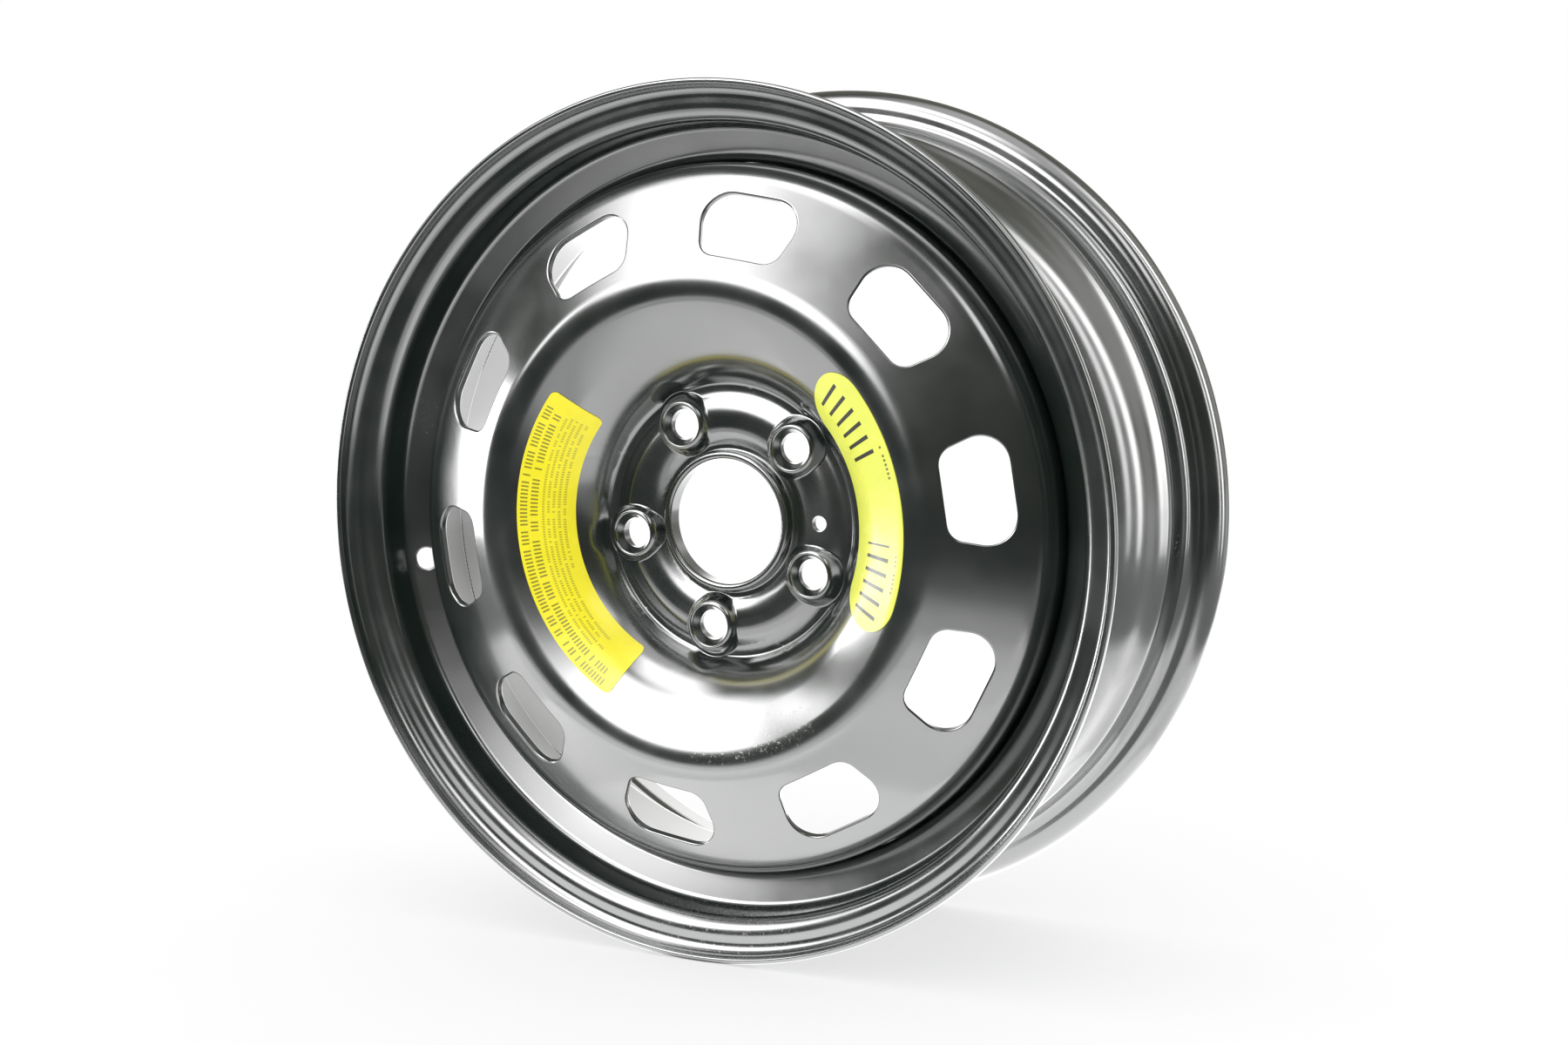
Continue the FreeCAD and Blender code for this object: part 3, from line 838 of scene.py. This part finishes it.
def make_sticker(name, centre, inner, width, ends, corner):
    """A curved band of film with rounded corners that lies on the nave."""
    start, end = np.radians(ends)
    middle = inner + width / 2
    length = (end - start) * middle
    bends = corner * (1 - np.cos(np.linspace(0, math.pi / 2, STICKER_CORNER_POINTS)))
    straight = np.linspace(corner, length - corner, STICKER_LENGTH_POINTS)[1:-1]
    along = np.concatenate([bends, straight, length - bends[::-1]])
    apart = np.minimum(along, length - along)
    cut = corner - np.sqrt(np.maximum(corner ** 2 - np.maximum(corner - apart, 0) ** 2, 0))
    share = np.linspace(-1, 1, STICKER_ROWS)[:, None]
    radius = middle + share * (width / 2 - cut)
    around = start + along / middle + 0 * share
    x = centre[0] + radius * np.cos(around)
    z = centre[1] + radius * np.sin(around)
    points, normals = on_height(disc_front, x, z, 1)
    normals /= np.linalg.norm(normals, axis=-1, keepdims=True)
    top = points + normals * (STICKER_GLUE + STICKER_SHEET) * MM
    base = points + normals * STICKER_GLUE * MM
    sticker = Surface()
    sticker.grid(top, normals)
    sticker.grid(base, -normals)
    across, lengthwise = np.gradient(points, axis=(0, 1))
    sides = [(np.s_[0], -across), (np.s_[-1], across), (np.s_[:, 0], -lengthwise), (np.s_[:, -1], lengthwise)]
    for edge, outwards in sides:
        sticker.grid(np.stack([top[edge], base[edge]]), np.stack([outwards[edge]] * 2))
    return sticker.build(name)


# Welds

def weld_section(along, half):
    """Sections of a bead at angles along it, each with the corner between disc and rim first."""
    place = np.radians(along) * DISC_EDGE_RADIUS
    ripple = 1 + WELD_RIPPLE_DEPTH * np.cos(2 * math.pi * place / WELD_RIPPLE)
    taper = np.sqrt(np.clip(1 - np.abs(along / half) ** WELD_END_POWER, WELD_END_LEAST, 1))
    size = WELD_LEG * WELD_FULLNESS * ripple * taper
    turn = np.radians(np.linspace(0, 90, WELD_TURNS))
    reach = 1 - WELD_HOLLOW + WELD_HOLLOW * np.abs(np.cos(2 * turn))
    inward = np.append(0, np.cos(turn) * reach)
    rearward = np.append(0, np.sin(turn) * reach)
    radius = DISC_EDGE_RADIUS + WELD_OVERLAP - inward[:, None] * size
    height = DISC_REAR - WELD_GAP - rearward[:, None] * size
    return np.stack([radius, height], -1)


def make_welds():
    """Fillet welds between the disc's edge and the rim, with ripples and tapered ends."""
    welds = Surface()
    half = math.degrees(WELD_LENGTH / DISC_EDGE_RADIUS) / 2
    along = np.linspace(-half, half, WELD_POINTS)
    section = weld_section(along, half)
    for start in repeats(WELD_COUNT):
        points = turned(section, start + half + along)
        ring = np.vstack([points, points[:1]])
        welds.grid(ring, ring - points.mean(0))
        for end, sign in ((0, -1), (-1, 1)):
            cap = points[:, end]
            fan = np.stack([cap, np.broadcast_to(cap.mean(0), cap.shape)])
            tangent = np.gradient(points.mean(0), axis=0)[end] * sign
            welds.grid(fan, np.broadcast_to(tangent, fan.shape), closed=True)
    return welds.build("weld_ripples")


# Materials

def new_material(name):
    """A material's node tree, and its shader."""
    material = bpy.data.materials.new(name)
    material.use_nodes = True
    tree = material.node_tree
    return material, tree, tree.nodes["Principled BSDF"]


def node(tree, kind, inputs=(), **settings):
    """A node with its settings, and its inputs given as values or as other nodes' sockets."""
    made = tree.nodes.new("ShaderNode" + kind)
    for name, value in settings.items():
        setattr(made, name, value)
    for key, value in dict(inputs).items():
        if isinstance(value, bpy.types.NodeSocket):
            tree.links.new(value, made.inputs[key])
        else:
            made.inputs[key].default_value = value
    return made


def math_node(tree, operation, *values):
    """The result of one operation on values or other nodes' sockets."""
    return node(tree, "Math", dict(enumerate(values)), operation=operation).outputs[0]


def chain(tree, operation, first, *others):
    """The result of one operation of two values, taken through a row of them."""
    for other in others:
        first = math_node(tree, operation, first, other)
    return first


def noise(tree, place, scale, detail=2.0, roughness=0.5):
    """A cloudy pattern between 0 and 1."""
    inputs = {"Vector": place, "Scale": scale, "Detail": detail, "Roughness": roughness}
    return node(tree, "TexNoise", inputs).outputs["Fac"]


def ramp(tree, value, low, high, start=0.0, end=1.0):
    """A value remapped from one range to another and kept inside it."""
    inputs = {"Value": value, "From Min": low, "From Max": high, "To Min": start, "To Max": end}
    return node(tree, "MapRange", inputs).outputs["Result"]


def mix_colour(tree, share, *colours):
    """A blend of two colours, each a colour or another node's socket."""
    ends = [part if isinstance(part, bpy.types.NodeSocket) else (*part, 1) for part in colours]
    return node(tree, "Mix", {0: share, 6: ends[0], 7: ends[1]}, data_type="RGBA").outputs[2]


def polar(tree, place, centre=(0.0, 0.0)):
    """Radius in metres and angle in radians about the axle, or about a centre near it, and the place's Y."""
    parts = node(tree, "SeparateXYZ", {0: place}).outputs
    x = math_node(tree, "SUBTRACT", parts[0], centre[0])
    z = math_node(tree, "SUBTRACT", parts[2], centre[1])
    squares = math_node(tree, "ADD", math_node(tree, "MULTIPLY", x, x), math_node(tree, "MULTIPLY", z, z))
    return math_node(tree, "SQRT", squares), math_node(tree, "ARCTAN2", z, x), parts[1]


def band(tree, value, low, high, edge):
    """1 between two limits and 0 outside, with soft edges."""
    up = ramp(tree, value, low - edge, low + edge)
    down = ramp(tree, value, high - edge, high + edge, 1.0, 0.0)
    return math_node(tree, "MULTIPLY", up, down)


def relief(tree, shader, height, strength, depth):
    """A fine relief with a depth in millimetres in a shader's normal."""
    bump = node(tree, "Bump", {"Strength": strength, "Distance": depth * MM, "Height": height})
    tree.links.new(bump.outputs[0], shader.inputs["Normal"])


def scuff_and_highlight_flecks(tree, radii, angles, depths, strength):
    """Pale flecks between two radii, angles and depths, on faces that don't look to the vehicle: scuffs on
    the rim, painted highlight on the disc.
    """
    spot = node(tree, "TexCoord").outputs
    radius, around, y = polar(tree, spot["Object"])
    facing_y = node(tree, "SeparateXYZ", {0: spot["Normal"]}).outputs[1]
    middle = math.radians(sum(angles) / 2)
    half = math.radians((angles[1] - angles[0]) / 2)
    offset = math_node(tree, "WRAP", math_node(tree, "SUBTRACT", around, middle), math.pi, -math.pi)
    flecks = noise(tree, spot["Object"], scale=420.0, detail=5.0, roughness=0.75)
    return chain(
        tree, "MULTIPLY",
        band(tree, offset, -half, half, half * SCUFF_AND_HIGHLIGHT_ANGLE_EDGE),
        band(tree, radius, radii[0] * MM, radii[1] * MM, SCUFF_AND_HIGHLIGHT_RADIUS_EDGE * MM),
        band(tree, y, depths[0] * MM, depths[1] * MM, SCUFF_AND_HIGHLIGHT_DEPTH_EDGE * MM),
        math_node(tree, "LESS_THAN", facing_y, REAR_FACING),
        ramp(tree, flecks, low=0.56, high=0.66, end=strength),
    )


def paint(name, scuff_and_highlight_patches):
    """Gloss black paint over steel, with faint orange peel, dust and the given patches of pale flecks: scuffs
    on the rim, painted highlight on the disc.
    """
    material, tree, shader = new_material(name)
    place = node(tree, "TexCoord").outputs["Object"]
    cloud = noise(tree, place, scale=14.0, detail=4.0)
    speck = noise(tree, place, scale=900.0, detail=3.0, roughness=0.7)
    dusty = ramp(tree, speck, low=0.64, high=0.78, end=DUST_DENSITY)
    dust = math_node(tree, "MULTIPLY", ramp(tree, cloud, low=0.5, high=0.8), dusty)
    # One mask for dust, scuffs and painted highlight flecks.
    dust_scuff_and_highlight = chain(tree, "MAXIMUM", dust, *(scuff_and_highlight_flecks(tree, *patch) for patch in scuff_and_highlight_patches))
    lighter = tuple(PAINT_LIGHTER * part for part in PAINT_COLOUR)
    shade = mix_colour(tree, ramp(tree, cloud, *NOISE_RANGE), PAINT_COLOUR, lighter)
    tree.links.new(mix_colour(tree, dust_scuff_and_highlight, shade, DUST_SCUFF_AND_HIGHLIGHT_COLOUR), shader.inputs["Base Color"])
    gloss = ramp(tree, noise(tree, place, scale=30.0, detail=5.0), *NOISE_RANGE, *PAINT_ROUGHNESS)
    dulled = math_node(tree, "ADD", gloss, math_node(tree, "MULTIPLY", dust_scuff_and_highlight, DUST_SCUFF_AND_HIGHLIGHT_ROUGHNESS))
    tree.links.new(dulled, shader.inputs["Roughness"])
    relief(tree, shader, noise(tree, place, scale=330.0), PEEL_STRENGTH, PEEL_DEPTH)
    for socket, value in PAINT_GLOSS.items():
        shader.inputs[socket].default_value = value
    return material


def tick_row(tree, radius, around, seed, middle, first, last, style):
    """The ink of a row of ticks between two angles, with some ticks left out by chance."""
    height, width, gap, darkness, missing = style
    start = math.radians(first)
    angle = math_node(tree, "SUBTRACT", math_node(tree, "WRAP", around, start + 2 * math.pi, start), start)
    count = math_node(tree, "MULTIPLY", angle, middle / (width + gap))
    number = math_node(tree, "ADD", math_node(tree, "FLOOR", count), seed)
    chance = node(tree, "TexWhiteNoise", {"W": number}, noise_dimensions="1D").outputs["Value"]
    return chain(
        tree, "MULTIPLY",
        math_node(tree, "LESS_THAN", math_node(tree, "FRACT", count), width / (width + gap)),
        math_node(tree, "GREATER_THAN", chance, missing),
        math_node(tree, "LESS_THAN", angle, math.radians(last - first)),
        band(tree, radius, (middle - height / 2) * MM, (middle + height / 2) * MM, PRINT_EDGE * MM),
        darkness,
    )


def film(name, colour, centre, inner, rows):
    """Glossy film with generic print: rows of dark ticks at distances from the film's inner edge."""
    material, tree, shader = new_material(name)
    place = node(tree, "TexCoord").outputs["Object"]
    radius, around, _ = polar(tree, place, tuple(part * MM for part in centre))
    inks = [tick_row(tree, radius, around, ROW_SEED * index, inner + reach, *row)
            for index, (reach, *row) in enumerate(rows)]
    faded = tuple(FILM_FADE * part for part in colour)
    fade = ramp(tree, noise(tree, place, scale=60.0, detail=3.0), *NOISE_RANGE)
    printed = mix_colour(tree, chain(tree, "MAXIMUM", *inks), mix_colour(tree, fade, colour, faded), INK)
    tree.links.new(printed, shader.inputs["Base Color"])
    gloss = ramp(tree, noise(tree, place, scale=90.0, detail=4.0), *NOISE_RANGE, *FILM_ROUGHNESS)
    tree.links.new(gloss, shader.inputs["Roughness"])
    relief(tree, shader, noise(tree, place, scale=120.0), FILM_RELIEF, FILM_RELIEF_DEPTH)
    return material


def dress(piece, material):
    """Gives a piece its one material."""
    piece.data.materials.append(material)


# The wheel

rim = make_rim()
dress(rim, paint("rim_paint_gloss", RIM_SCUFFS))
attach(rim, "root")
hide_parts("rim")

disc = make_disc()
# The disc's fleck patch is painted highlight on the lower nave.
dress(disc, paint("disc_paint_gloss", DISC_HIGHLIGHT_FLECKS))
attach(disc, "root")
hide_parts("disc")

welds = make_welds()
dress(welds, paint("weld_paint_gloss", []))
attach(welds, "root")
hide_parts("weld_beads")

right_sticker = make_sticker("right_film", RIGHT_STICKER_CENTRE, RIGHT_STICKER_INNER, RIGHT_STICKER_WIDTH,
                             RIGHT_STICKER_ENDS, RIGHT_STICKER_WIDTH / 2)
lemon_film = film("lemon_film", LEMON, RIGHT_STICKER_CENTRE, RIGHT_STICKER_INNER, RIGHT_PRINT)
dress(right_sticker, lemon_film)
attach(right_sticker, "root")
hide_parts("right_sticker")

left_sticker = make_sticker("left_film", LEFT_STICKER_CENTRE, LEFT_STICKER_INNER, LEFT_STICKER_WIDTH,
                            LEFT_STICKER_ENDS, LEFT_STICKER_CORNER)
deep_film = film("deep_yellow_film", DEEP_YELLOW, LEFT_STICKER_CENTRE, LEFT_STICKER_INNER, LEFT_PRINT)
dress(left_sticker, deep_film)
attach(left_sticker, "root")
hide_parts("left_sticker")


# Studio

def make_camera():
    """The camera at the photo's angle."""
    data = bpy.data.cameras.new("camera")
    data.lens = LENS
    data.sensor_width = SENSOR_WIDTH
    data.sensor_fit = "HORIZONTAL"
    data.clip_end = VIEW_END
    camera = new_object("camera", data)
    turn = (EYE - LOOK_AT).to_track_quat("Z", "Y")
    camera.matrix_world = Matrix.LocRotScale(EYE, turn, None)
    bpy.context.scene.camera = camera


def panel(name, place, turn, size, radiance, soft):
    """A lamp that shows only in the gloss, as a panel that fades over a soft share towards its edges."""
    data = bpy.data.lights.new(name, "AREA")
    data.shape = "RECTANGLE"
    data.size, data.size_y = size
    data.energy = radiance * math.pi * size[0] * size[1]
    data.use_nodes = True
    tree = data.node_tree
    on_lamp = node(tree, "SeparateXYZ", {0: node(tree, "NewGeometry").outputs["Parametric"]}).outputs
    fades = []
    for share in on_lamp[:2]:
        apart = math_node(tree, "ABSOLUTE", math_node(tree, "SUBTRACT", share, 0.5))
        fades.append(ramp(tree, apart, 0.5 - soft / 2, 0.5, 1.0, 0.0))
    tree.links.new(math_node(tree, "MULTIPLY", *fades), tree.nodes["Emission"].inputs["Strength"])
    lamp = new_object(name, data)
    lamp.location = place
    lamp.rotation_euler = turn.to_euler()
    lamp.visible_camera = False
    lamp.visible_diffuse = False


def softbox(name, distance, bearing, elevation, size, radiance, soft=0.5, roll=0.0):
    """A panel that faces the wheel; bearings run from the street towards +X."""
    around, up = math.radians(bearing), math.radians(elevation)
    place = Vector((math.sin(around) * math.cos(up), -math.cos(around) * math.cos(up), math.sin(up)))
    turn = (-place).to_track_quat("-Z", "Y") @ Quaternion((0, 0, 1), math.radians(roll))
    panel(name, place * distance, turn, size, radiance, soft)


def table(name, front, radiance):
    """A panel on the floor, from a front edge to far behind the wheel, like pale paper."""
    place = Vector((TABLE_SHIFT, (front + TABLE_BACK) / 2, FLOOR_HEIGHT + MM))
    face_up = Quaternion((1, 0, 0), math.pi)
    panel(name, place, face_up, (TABLE_WIDTH, TABLE_BACK - front), radiance, TABLE_SOFT)


def floor_material():
    """Pale matt floor that is white to the camera away from the shadow, and a white sheet in the gloss."""
    material, tree, shader = new_material("pale_floor")
    place = node(tree, "TexCoord").outputs["Object"]
    shade = mix_colour(tree, noise(tree, place, scale=3.0, detail=4.0), *FLOOR_COLOURS)
    tree.links.new(shade, shader.inputs["Base Color"])
    shader.inputs["Roughness"].default_value = FLOOR_ROUGHNESS
    shader.inputs["Specular IOR Level"].default_value = 0.0
    path = node(tree, "LightPath").outputs
    y = node(tree, "SeparateXYZ", {0: place}).outputs[1]
    apart = node(tree, "VectorMath", {0: place}, operation="LENGTH").outputs["Value"]
    sheet = math_node(tree, "MULTIPLY", path["Is Glossy Ray"], ramp(tree, y, *SHEET_EDGE, *SHEET_LEVELS))
    strength = math_node(tree, "ADD", path["Is Camera Ray"], sheet)
    glow = node(tree, "Emission", {"Color": (*WHITE, 1), "Strength": strength})
    fade = math_node(tree, "MULTIPLY", path["Is Camera Ray"], ramp(tree, apart, *SHADOW_FADE, *SHADOW_LEVELS))
    blend = node(tree, "MixShader", {0: math_node(tree, "MAXIMUM", fade, path["Is Glossy Ray"])})
    tree.links.new(shader.outputs[0], blend.inputs[1])
    tree.links.new(glow.outputs[0], blend.inputs[2])
    tree.links.new(blend.outputs[0], tree.nodes["Material Output"].inputs["Surface"])
    return material


def make_floor():
    """A wide pale floor under the wheel that keeps its shadow."""
    mesh = bpy.data.meshes.new("floor")
    signs = ((-1, -1), (1, -1), (1, 1), (-1, 1))
    corners = [(x * FLOOR_REACH, y * FLOOR_REACH, FLOOR_HEIGHT) for x, y in signs]
    mesh.from_pydata(corners, [], [(0, 1, 2, 3)])
    floor = new_object("floor", mesh)
    dress(floor, floor_material())


def make_world():
    """A white room that the paint sees as brighter behind the wheel and dark on the camera's side."""
    world = bpy.data.worlds.new("room")
    bpy.context.scene.world = world
    world.use_nodes = True
    tree = world.node_tree
    direction = node(tree, "TexCoord").outputs["Generated"]
    y = node(tree, "SeparateXYZ", {0: direction}).outputs[1]
    path = node(tree, "LightPath").outputs
    seen = math_node(tree, "MAXIMUM", path["Is Camera Ray"], path["Is Glossy Ray"])
    fill = math_node(tree, "MULTIPLY", math_node(tree, "SUBTRACT", 1.0, seen), ROOM_FILL)
    room = math_node(tree, "MULTIPLY", path["Is Glossy Ray"], ramp(tree, y, *ROOM_EDGE, *ROOM_LEVELS))
    strength = chain(tree, "ADD", fill, room, path["Is Camera Ray"])
    tree.links.new(strength, tree.nodes["Background"].inputs["Strength"])
    tint = mix_colour(tree, path["Is Glossy Ray"], WHITE, ROOM_TINT)
    tree.links.new(tint, tree.nodes["Background"].inputs["Color"])


make_camera()
make_floor()
make_world()
softbox("key", 1.55, -26, 32, size=(2.2, 1.0), radiance=10.0, soft=0.65, roll=-15.0)
softbox("key_side", 1.55, -58, 18, size=(0.3, 0.5), radiance=6.0, soft=0.6)
softbox("key_top", 1.55, -25, 60, size=(1.3, 0.8), radiance=6.0)
softbox("left", 1.45, -78, 2, size=(0.38, 0.6), radiance=13.0, soft=0.3)
softbox("right", 0.9, 91, 25, size=(0.16, 1.8), radiance=5.0, soft=0.6)
softbox("mid_right", 0.9, 110, 25, size=(0.2, 1.8), radiance=7.0, soft=0.6)
softbox("far_right", 0.9, 135, 18, size=(0.45, 1.5), radiance=0.5)
softbox("high_right", 1.7, 47, 42, size=(0.65, 0.8), radiance=4.0)
softbox("top", 1.6, 60, 80, size=(1.8, 1.8), radiance=1.6)
softbox("rear", 0.62, 195, 4, size=(1.1, 0.55), radiance=1.9, soft=0.3)
table("table", front=-0.42, radiance=1.4)
table("table_edge", front=-0.62, radiance=1.0)
bpy.context.scene.view_settings.view_transform = "Standard"
